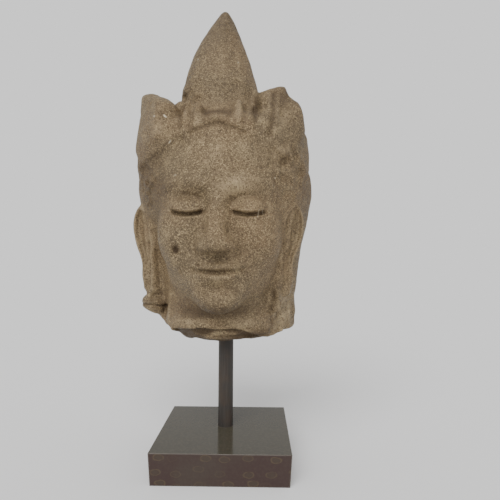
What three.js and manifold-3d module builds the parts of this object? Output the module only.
// A weathered stone head with a pointed crown, held on a round steel rod above a square plinth.
// Millimetres, +Z up. The face looks along -Y, and the origin is the centre of the plinth's underside.

import * as THREE from "three";
import { mergeVertices } from "three/addons/utils/BufferGeometryUtils.js";
import Module from "manifold-3d";

// Driving dimensions of the stand.
const PLINTH = { width: 150, depth: 150, height: 34.5, undercut: 2, edge: 1 };
const ROD = { radius: 9, setBack: 8, inPlinth: 20, showing: 105.5, inHead: 60, sides: 40 };
// The gap round the rod, and under and over its ends.
const FIT = 0.3;

// The head's height, from the lowest point of the broken neck to the tip of the crown,
// and how far its middle stands aside from the rod.
const HEAD = { height: 403, aside: -3.5 };
// The carving below is written between these two levels, and is scaled to HEAD.height as a whole.
// In it x runs to the viewer's right, y to the back from the rod's axis, and z up.
const CARVED = { foot: 3, top: 406 };

// How finely the head's surface is cut into facets.
const FACETS = { columns: 82, rows: 57 };

const clamp = (value, low, high) => Math.min(Math.max(value, low), high);
const mix = (a, b, share) => a + (b - a) * share;

// 0 below the low edge, 1 above the high edge, and smooth between them.
function ramp(low, high, value) {
  const share = clamp((value - low) / (high - low), 0, 1);
  return share * share * (3 - 2 * share);
}

// Joins two signed distances with a fillet about as wide as blend.
function join(a, b, blend) {
  const near = Math.max(blend - Math.abs(a - b), 0) / blend;
  return Math.min(a, b) - (near * near * blend) / 4;
}

// Keeps what two signed distances share, with a rounded edge.
const keep = (a, b, blend) => -join(-a, -b, blend);
// Cuts the second out of the first, with a rounded edge.
const cut = (a, b, blend) => -join(-a, b, blend);

function ellipsoid(x, y, z, [cx, cy, cz], [rx, ry, rz]) {
  const [u, v, w] = [(x - cx) / rx, (y - cy) / ry, (z - cz) / rz];
  const size = Math.hypot(u, v, w);
  const slope = Math.hypot(u / rx, v / ry, w / rz);
  return slope === 0 ? -Math.min(rx, ry, rz) : (size * (size - 1)) / slope;
}

// Distance to a limb that tapers from one radius to the other along a straight line.
function limb(x, y, z, [ax, ay, az], [bx, by, bz], startRadius, endRadius) {
  const [dx, dy, dz] = [bx - ax, by - ay, bz - az];
  const along = ((x - ax) * dx + (y - ay) * dy + (z - az) * dz) / (dx * dx + dy * dy + dz * dz);
  const share = clamp(along, 0, 1);
  const gap = Math.hypot(x - ax - share * dx, y - ay - share * dy, z - az - share * dz);
  return gap - mix(startRadius, endRadius, share);
}

// Distance to an upright drum of elliptical plan round (cx, cy).
function drum(x, y, [cx, cy], [rx, ry]) {
  const size = Math.hypot((x - cx) / rx, (y - cy) / ry);
  return size === 0 ? -Math.min(rx, ry) : ((size - 1) * Math.hypot(x - cx, y - cy)) / size;
}

// A fixed number from 0 to 1 for each point of a lattice, as good as random.
const SCATTER = { steps: [127.1, 311.7, 74.7], spread: 43758.5453 };

function lattice(i, j, k) {
  const [a, b, c] = SCATTER.steps;
  const wave = Math.sin(i * a + j * b + k * c) * SCATTER.spread;
  return wave - Math.floor(wave);
}

// Smooth lumps from -1 to 1, about size apart.
function lumps(x, y, z, size) {
  const [u, v, w] = [x / size, y / size, z / size];
  const [i, j, k] = [Math.floor(u), Math.floor(v), Math.floor(w)];
  const [a, b, c] = [ramp(0, 1, u - i), ramp(0, 1, v - j), ramp(0, 1, w - k)];
  const edge = (dj, dk) => mix(lattice(i, j + dj, k + dk), lattice(i + 1, j + dj, k + dk), a);
  const face = (dk) => mix(edge(0, dk), edge(1, dk), b);
  return 2 * mix(face(0), face(1), c) - 1;
}

// The large forms of the face, each flowing into the ones before it. One off the middle is mirrored.
const FACE_FORMS = [
  { at: [0, -14, 198], radii: [75, 81, 86], blend: 1 },
  { at: [0, -24, 138], radii: [72, 69, 78], blend: 26 },
  { at: [0, -34, 86], radii: [57, 55, 47], blend: 26 },
  { at: [39, -64, 124], radii: [26, 24, 29], blend: 20 },
  { at: [0, -68, 84], radii: [34, 27, 25], blend: 16 },
  { at: [0, -76, 57], radii: [23, 20, 16], blend: 16 },
];

// The nose: a bridge that widens to a tip, with a wing on each side.
const NOSE = {
  root: [0, -86, 163],
  rootRadius: 7.5,
  tip: [0, -103, 117],
  tipRadius: 12,
  wing: { at: [12, -95, 112.5], radii: [7.8, 11, 8] },
  nostril: { at: [7.5, -98, 103], radii: [4, 6, 5], blend: 3 },
  under: { level: 105, blend: 6 },
  blend: 8,
};

// A closed eye: the ball under its lid.
const EYE = { at: [31.5, -74, 152.5], radii: [20, 15.5, 12.5], blend: 5 };

// Hollows pressed into the face, as bell-shaped dips in its front view.
const FACE_HOLLOWS = [
  { at: [30, 161], spread: [22, 10], depth: 7 },
  { at: [15, 156], spread: [7, 12], depth: 4 },
  { at: [31, 88], spread: [7, 7], depth: 2.4 },
  { at: [0, 67], spread: [17, 5.5], depth: 2.6 },
  { at: [0, 99], spread: [3.2, 6], depth: 1.4 },
  { at: [24, 108], spread: [5, 12], depth: 1.6 },
];

// Ridges and grooves along arcs of the front view, from one x to another. An arc passes its crest at its
// middle and bends with its radius there, upwards to both sides, or downwards where the radius is negative.
const FACE_STROKES = {
  brow: { crest: 181, radius: -43.5, middle: 38, from: 9, to: 66, width: 5.5, height: 2.6 },
  lidCrease: { crest: 164.5, radius: -25, middle: 31, from: 12, to: 50, width: 2.8, height: -1.6 },
  lidEdge: { crest: 148.4, radius: 47.6, middle: 31, from: 13, to: 51, width: 2.4, height: 1.3 },
  eyeSlit: { crest: 144.9, radius: 47.6, middle: 31, from: 11, to: 53, width: 2.6, height: -2.6 },
  lowerLid: { crest: 141.6, radius: 41.7, middle: 31, from: 15, to: 49, width: 2.4, height: 1.1 },
  upperLip: { crest: 90.6, radius: -83.3, middle: 6, from: -1, to: 26, width: 4.2, height: 4.4 },
  mouthLine: { crest: 85.2, radius: 142.9, middle: 0, from: -1, to: 31, width: 2.4, height: -3.4 },
  lowerLip: { crest: 79.2, radius: 100, middle: 0, from: -1, to: 24, width: 4.6, height: 4.6 },
};
// Over this length a stroke dies out at its ends.
const STROKE_FADE = 8;
// The relief fades out from the front of the face to the back between these two depths.
const RELIEF_DEPTH = { front: -62, back: -30 };
// Farther from the stone than any real point of it.
const FAR = 1e3;

// How much a ridge or groove of the face lifts the surface at a point of the front view.
function strokeHeight(side, z, { crest, radius, middle, from, to, width, height }) {
  const off = (z - crest - (side - middle) ** 2 / (2 * radius)) / width;
  const start = from < 0 ? 1 : ramp(from, from + STROKE_FADE, side);
  return height * Math.exp(-off * off) * start * ramp(to, to - STROKE_FADE, side);
}

function faceRelief(side, z) {
  let lift = 0;
  for (const stroke of Object.values(FACE_STROKES)) lift += strokeHeight(side, z, stroke);
  for (const { at, spread, depth } of FACE_HOLLOWS) {
    lift -= depth * Math.exp(-(((side - at[0]) / spread[0]) ** 2) - ((z - at[1]) / spread[1]) ** 2);
  }
  return lift;
}

function face(x, y, z) {
  const side = Math.abs(x);
  let form = FAR;
  for (const { at, radii, blend } of FACE_FORMS) {
    form = join(form, ellipsoid(at[0] > 0 ? side : x, y, z, at, radii), blend);
  }
  form -= faceRelief(side, z) * ramp(RELIEF_DEPTH.back, RELIEF_DEPTH.front, y);
  form = join(form, ellipsoid(side, y, z, EYE.at, EYE.radii), EYE.blend);
  let nose = limb(x, y, z, NOSE.root, NOSE.tip, NOSE.rootRadius, NOSE.tipRadius);
  nose = join(nose, ellipsoid(side, y, z, NOSE.wing.at, NOSE.wing.radii), NOSE.blend);
  nose = keep(nose, NOSE.under.level - z, NOSE.under.blend);
  nose = cut(nose, ellipsoid(side, y, z, NOSE.nostril.at, NOSE.nostril.radii), NOSE.nostril.blend);
  form = join(form, nose, NOSE.blend);
  const slit = strokeHeight(side, z, FACE_STROKES.eyeSlit) + strokeHeight(side, z, FACE_STROKES.lidEdge);
  return form - slit * ramp(RELIEF_DEPTH.back, RELIEF_DEPTH.front, y);
}

// The hair behind the face, the nape below it, the neck, and the stump of stone left under one ear.
const HAIR = { at: [0, 9, 205], radii: [104.5, 86, 118], top: 258, round: 12 };
const NAPE = {
  middle: [0, 30],
  halfWidth: 89,
  depth: 60,
  flare: 0.15,
  flareFrom: 55,
  top: 190,
  round: 20,
  blend: 24,
};
const STUMP = { at: [-86, 14, 44], radii: [18, 27, 15], blend: 7 };
const NECK = { middle: [0, 10], radii: [60, 61], top: 110, round: 20, blend: 9 };

function hairAndNeck(x, y, z) {
  const hair = keep(ellipsoid(x, y, z, HAIR.at, HAIR.radii), z - HAIR.top, HAIR.round);
  const napeWidth = NAPE.halfWidth + NAPE.flare * Math.max(z - NAPE.flareFrom, 0);
  const nape = keep(drum(x, y, NAPE.middle, [napeWidth, NAPE.depth]), z - NAPE.top, NAPE.round);
  const neck = keep(drum(x, y, NECK.middle, NECK.radii), z - NECK.top, NECK.round);
  const back = join(join(hair, nape, NAPE.blend), ellipsoid(x, y, z, STUMP.at, STUMP.radii), STUMP.blend);
  return join(back, neck, NECK.blend);
}

// An ear with a long lobe, as a leaf set aslant on the side of the head and leaning in at its foot.
const EAR = {
  turn: THREE.MathUtils.degToRad(50),
  left: { side: -1, at: -95, back: 1, lean: 0.08 },
  right: { side: 1, at: 78, back: -25, lean: 0.11 },
  bow: { at: [1, 134], radii: [19, 30] },
  lobe: { top: [-2, 112], foot: [-4, 65], topRadius: 13, footRadius: 10, blend: 12 },
  thickness: 8,
  round: 7,
  rim: 7,
  hollow: { depth: 6, blend: 4 },
};

function ear(x, y, z, { side, at, back, lean }) {
  const out = side * (x - at) + lean * (EAR.bow.at[1] - z);
  const across = out * Math.sin(EAR.turn) + (y - back) * Math.cos(EAR.turn);
  const facing = out * Math.cos(EAR.turn) - (y - back) * Math.sin(EAR.turn);
  const { bow, lobe } = EAR;
  const bowEdge = ellipsoid(across, 0, z, [bow.at[0], 0, bow.at[1]], [bow.radii[0], FAR, bow.radii[1]]);
  const top = [lobe.top[0], 0, lobe.top[1]];
  const foot = [lobe.foot[0], 0, lobe.foot[1]];
  const lobeEdge = limb(across, 0, z, top, foot, lobe.topRadius, lobe.footRadius);
  const outline = join(bowEdge, lobeEdge, lobe.blend);
  const leaf = keep(outline, Math.abs(facing) - EAR.thickness, EAR.round);
  const floor = EAR.thickness - EAR.hollow.depth;
  return cut(leaf, keep(outline + EAR.rim, floor - facing, EAR.hollow.blend), EAR.hollow.blend);
}

// The crown: a band with an arched lower edge, a ring of petals, a collar and a tall pointed cone.
const BAND = {
  middle: [-2, 4],
  radii: [102, 91],
  top: 250,
  arch: 236,
  side: 205,
  archFrom: 0.1,
  archTo: 1.4,
  footRound: 5,
  topRound: 8,
};
const COLLAR = { middle: [-2, 6], radii: [66, 62], left: 270, right: 294, ramp: 30, round: 14, blend: 8 };
const CONE = {
  middle: [-5, 2],
  tip: [0, 2],
  tipLength: 60,
  top: 406,
  spread: 62.5,
  curve: 79,
  depth: 1.06,
  steepness: 0.8,
  foot: { level: 240, round: 6 },
  round: 4,
  blend: 5,
};
const SLOT = { foot: [38, -78, 252], top: [41, -44, 296], radius: 4, blend: 4 };
const PETAL = {
  foot: 226,
  thickness: 12,
  inset: 14,
  lean: 6,
  point: 1.9,
  ragged: 4,
  ragSize: 17,
  edgeRound: 9,
  topRound: 8,
  blend: 6,
};
// Each petal's turn from the front, half its width, the height of its tip, and the height and slope
// of the break across it.
const PETALS = {
  frontRight: { turn: 55, width: 35, tip: 297, broken: 291, slope: 0.7 },
  right: { turn: 101, width: 31, tip: 297, broken: 284, slope: 0 },
  backRight: { turn: 141, width: 31, tip: 290, broken: 400, slope: 0 },
  back: { turn: 181, width: 31, tip: 294, broken: 284, slope: 0.1 },
  backLeft: { turn: 221, width: 31, tip: 290, broken: 400, slope: 0 },
  left: { turn: 259, width: 31, tip: 300, broken: 282, slope: 0.2 },
  frontLeft: { turn: 299, width: 42, tip: 345, broken: 288, slope: 0.5 },
};

function petal(x, y, z, { turn, width, tip, broken, slope }) {
  const [sine, cosine] = [Math.sin(THREE.MathUtils.degToRad(turn)), Math.cos(THREE.MathUtils.degToRad(turn))];
  const fromX = x - BAND.middle[0] - sine * (BAND.radii[0] - PETAL.inset);
  const fromY = y - BAND.middle[1] + cosine * (BAND.radii[1] - PETAL.inset);
  const across = fromX * cosine + fromY * sine;
  const out = fromX * sine - fromY * cosine;
  const rise = clamp((z - PETAL.foot) / (tip - PETAL.foot), 0, 1);
  const sides = Math.abs(across) - width * Math.sqrt(1 - rise ** PETAL.point);
  const leaf = keep(sides, Math.abs(out + PETAL.lean * rise) - PETAL.thickness, PETAL.edgeRound);
  const breakLevel = broken - slope * across + PETAL.ragged * lumps(x, y, 0, PETAL.ragSize);
  return keep(leaf, Math.max(z - Math.min(tip, breakLevel), PETAL.foot - z), PETAL.topRound);
}

function cone(x, y, z) {
  const below = CONE.top - z;
  const reach = CONE.spread * (1 - Math.exp(-Math.max(below, 0) / CONE.curve));
  const middleX = mix(CONE.tip[0], CONE.middle[0], clamp(below / CONE.tipLength, 0, 1));
  const round = Math.hypot(x - middleX, (y - CONE.middle[1]) / CONE.depth);
  const sides = keep((round - reach) * CONE.steepness, CONE.foot.level - z, CONE.foot.round);
  return keep(sides, -below, CONE.round);
}

function crown(x, y, z) {
  const turn = Math.abs(Math.atan2(x, -y));
  const lowerEdge = mix(BAND.arch, BAND.side, ramp(BAND.archFrom, BAND.archTo, turn));
  let made = keep(drum(x, y, BAND.middle, BAND.radii), lowerEdge - z, BAND.footRound);
  made = keep(made, z - BAND.top, BAND.topRound);
  const collarTop = mix(COLLAR.left, COLLAR.right, ramp(-COLLAR.ramp, COLLAR.ramp, x));
  const collar = keep(drum(x, y, COLLAR.middle, COLLAR.radii), z - collarTop, COLLAR.round);
  made = join(made, collar, COLLAR.blend);
  for (const each of Object.values(PETALS)) made = join(made, petal(x, y, z, each), PETAL.blend);
  made = cut(made, limb(x, y, z, SLOT.foot, SLOT.top, SLOT.radius, SLOT.radius), SLOT.blend);
  return join(made, cone(x, y, z), CONE.blend);
}

// The broken underside: level under the neck, rising towards both sides, and rough.
const BREAK = {
  level: 5.2,
  left: { start: -45, slope: 0.6, foot: 7 },
  right: { start: 54, slope: 0.25, foot: 8 },
  turnIn: 8,
  coarse: { size: 24, height: 2.5, seed: 0 },
  fine: { size: 9, height: 1.6, seed: 40 },
  edge: 3,
};

function breakHeight(x, y) {
  const { left, right, coarse, fine } = BREAK;
  const level = BREAK.level + coarse.height * lumps(x, y, coarse.seed, coarse.size);
  const leftRise = left.foot + (left.start - x) * left.slope;
  const rightRise = right.foot + (x - right.start) * right.slope;
  const broken = keep(keep(level, leftRise, BREAK.turnIn), rightRise, BREAK.turnIn);
  return broken + fine.height * lumps(x, y, fine.seed, fine.size);
}

// Weathering all over: soft swellings and hollows, each with its size and height.
const WEATHERING = [
  { size: 34, height: 1.1 },
  { size: 13, height: 0.5 },
];
const HAIR_TO_FACE = 7;
const EAR_TO_HEAD = 5;
const CROWN_TO_HEAD = 5;

// The whole head in the carving's own numbers: below zero inside the stone.
function carving(x, y, z) {
  let stone = join(face(x, y, z), hairAndNeck(x, y, z), HAIR_TO_FACE);
  stone = join(stone, ear(x, y, z, EAR.left), EAR_TO_HEAD);
  stone = join(stone, ear(x, y, z, EAR.right), EAR_TO_HEAD);
  stone = join(stone, crown(x, y, z), CROWN_TO_HEAD);
  for (const { size, height } of WEATHERING) stone += height * lumps(x, y, z, size);
  return keep(stone, breakHeight(x, y) - z, BREAK.edge);
}

// The surface is found along rays that fan out from an upright axis inside the stone.
// Each stop gives a share of the rows, the height of the ray's start and its tilt in degrees.
const FANS = {
  underside: { share: 0, from: 60, tilt: -90 },
  neckRim: { share: 0.053, from: 60, tilt: -42 },
  rightCorner: { share: 0.088, from: 60, tilt: -27 },
  leftCorner: { share: 0.123, from: 60, tilt: -13 },
  temples: { share: 0.64, from: 205, tilt: 3 },
  petals: { share: 0.8, from: 176, tilt: 51 },
  cone: { share: 0.92, from: 300, tilt: 56 },
  tip: { share: 1, from: 385, tilt: 90 },
};
// Each stop gives a share of the columns from the face's middle to the back, and its turn in degrees:
// the columns stand close on the face and the ears.
const TURNS = {
  face: { share: 0, turn: 0 },
  cheek: { share: 0.5, turn: 50 },
  ear: { share: 0.6, turn: 70 },
  nape: { share: 0.86, turn: 110 },
  back: { share: 1, turn: 180 },
};
// A ray starts outside the stone, walks in by a share of the distance to it, and stops near the axis.
const RAY = { start: 230, steps: 60, share: 0.7, end: 2 };

// The value that stands between two of some stops, at some share of the whole.
function between(stops, share, name) {
  const list = Object.values(stops);
  const next = clamp(list.findIndex((stop) => stop.share >= share), 1, list.length - 1);
  const [a, b] = [list[next - 1], list[next]];
  return mix(a[name], b[name], (share - a.share) / (b.share - a.share));
}

// Walks in along a ray until it meets the stone, and returns the point.
function castRay(turn, share) {
  const from = between(FANS, share, "from");
  const tilt = THREE.MathUtils.degToRad(between(FANS, share, "tilt"));
  const level = Math.cos(tilt);
  const point = (reach) => [
    Math.sin(turn) * level * reach,
    -Math.cos(turn) * level * reach,
    from + Math.sin(tilt) * reach,
  ];
  let reach = RAY.start;
  for (let step = 0; step < RAY.steps; step += 1) reach -= RAY.share * carving(...point(reach));
  return point(Math.max(reach, RAY.end));
}

// A column's turn from the middle of the face, from -180 to 180 degrees, in radians.
function columnTurn(column) {
  const share = (2 * column) / FACETS.columns - 1;
  return THREE.MathUtils.degToRad(Math.sign(share) * between(TURNS, Math.abs(share), "turn"));
}

function headGeometry() {
  const { columns, rows } = FACETS;
  const points = [castRay(0, 0)];
  for (let row = 1; row < rows; row += 1) {
    for (let column = 0; column < columns; column += 1) {
      points.push(castRay(columnTurn(column), row / rows));
    }
  }
  points.push(castRay(0, 1));
  const last = points.length - 1;
  const faces = [];
  for (let column = 0; column < columns; column += 1) {
    const next = (column + 1) % columns;
    faces.push(0, 1 + next, 1 + column);
    for (let row = 0; row < rows - 2; row += 1) {
      const [low, high] = [1 + row * columns, 1 + (row + 1) * columns];
      if (column < columns / 2) {
        faces.push(low + column, low + next, high + next, low + column, high + next, high + column);
      } else {
        faces.push(low + column, low + next, high + column, low + next, high + next, high + column);
      }
    }
    faces.push(last, last - columns + column, last - columns + next);
  }
  const geometry = new THREE.BufferGeometry();
  geometry.setAttribute("position", new THREE.Float32BufferAttribute(points.flat(), 3));
  geometry.setIndex(faces);
  const scale = HEAD.height / (CARVED.top - CARVED.foot);
  geometry.translate(0, 0, -CARVED.foot);
  geometry.scale(scale, scale, scale);
  geometry.translate(HEAD.aside, 0, 0);
  return geometry;
}

const wasm = await Module();
wasm.setup();
// Points closer together than this are one point.
const SAME_POINT = 1e-4;

function solidOf(geometry) {
  const bare = geometry.clone();
  bare.deleteAttribute("normal");
  bare.deleteAttribute("uv");
  const merged = mergeVertices(bare, SAME_POINT);
  return new wasm.Manifold(
    new wasm.Mesh({
      numProp: 3,
      vertProperties: new Float32Array(merged.attributes.position.array),
      triVerts: new Uint32Array(merged.index.array),
    }),
  );
}

function geometryOf(solid) {
  const mesh = solid.getMesh();
  const geometry = new THREE.BufferGeometry();
  geometry.setAttribute("position", new THREE.BufferAttribute(mesh.vertProperties, mesh.numProp));
  geometry.setIndex(new THREE.BufferAttribute(mesh.triVerts, 1));
  geometry.computeVertexNormals();
  return geometry;
}

// An upright cylinder from one height to another, with its axis set back by some distance.
function upright(radius, low, high, back) {
  const geometry = new THREE.CylinderGeometry(radius, radius, high - low, ROD.sides);
  geometry.rotateX(Math.PI / 2);
  geometry.translate(0, back, (low + high) / 2);
  return geometry;
}

// How far a cut starts outside the piece that it goes into.
const OUTSIDE = 10;

// The head with the blind hole in its neck that takes the rod.
function drilledHead() {
  const hole = upright(ROD.radius + FIT, -OUTSIDE, ROD.inHead + FIT, 0);
  return geometryOf(solidOf(headGeometry()).subtract(solidOf(hole)));
}

// The plinth: a square block, slightly narrower at the foot, with broken edges and a hole for the rod.
function drilledPlinth() {
  const { width, depth, height, undercut, edge } = PLINTH;
  const levels = [
    { z: 0, inset: undercut + edge },
    { z: edge, inset: undercut },
    { z: height - edge, inset: 0 },
    { z: height, inset: edge },
  ];
  const points = [];
  for (const { z, inset } of levels) {
    const [x, y] = [width / 2 - inset, depth / 2 - inset];
    for (const [cornerX, cornerY] of [[-x, -y], [x, -y], [x, y], [-x, y]]) {
      for (const [dx, dy] of cornerSteps(cornerX, cornerY, edge)) {
        points.push(cornerX + dx, cornerY + dy, z);
      }
    }
  }
  const around = points.length / 3 / levels.length;
  const faces = [];
  for (let level = 0; level < levels.length - 1; level += 1) {
    for (let i = 0; i < around; i += 1) {
      const next = (i + 1) % around;
      const [low, high] = [level * around, (level + 1) * around];
      faces.push(low + i, low + next, high + next, low + i, high + next, high + i);
    }
  }
  const top = (levels.length - 1) * around;
  for (let i = 1; i < around - 1; i += 1) {
    faces.push(0, i + 1, i);
    faces.push(top, top + i, top + i + 1);
  }
  const block = new THREE.BufferGeometry();
  block.setAttribute("position", new THREE.Float32BufferAttribute(points, 3));
  block.setIndex(faces);
  const hole = upright(ROD.radius + FIT, height - ROD.inPlinth - FIT, height + OUTSIDE, ROD.setBack);
  return geometryOf(solidOf(block).subtract(solidOf(hole)));
}

// The two points that take the place of a sharp corner, in order round the block.
function cornerSteps(x, y, edge) {
  const [inX, inY] = [-Math.sign(x) * edge, -Math.sign(y) * edge];
  return x * y > 0 ? [[0, inY], [inX, 0]] : [[inX, 0], [0, inY]];
}

const stone = new THREE.MeshStandardMaterial({ color: 0x7c6d55, roughness: 0.92, metalness: 0 });
const steel = new THREE.MeshStandardMaterial({ color: 0x3f3b36, roughness: 0.5, metalness: 0.4 });
const lacquer = new THREE.MeshStandardMaterial({ color: 0x4a3d38, roughness: 0.25, metalness: 0 });

function piece(name, geometry, material) {
  const mesh = new THREE.Mesh(geometry, material);
  mesh.name = name;
  return mesh;
}

const neckHeight = PLINTH.height + ROD.showing;
const group = new THREE.Group();

group.add(piece("plinth", drilledPlinth(), lacquer));

const rodFoot = PLINTH.height - ROD.inPlinth;
const rodTop = neckHeight + ROD.inHead;
group.add(piece("support_rod", upright(ROD.radius, rodFoot, rodTop, ROD.setBack), steel));

const head = piece("stone_head", drilledHead(), stone);
head.position.set(0, ROD.setBack, neckHeight);
group.add(head);

export default group;
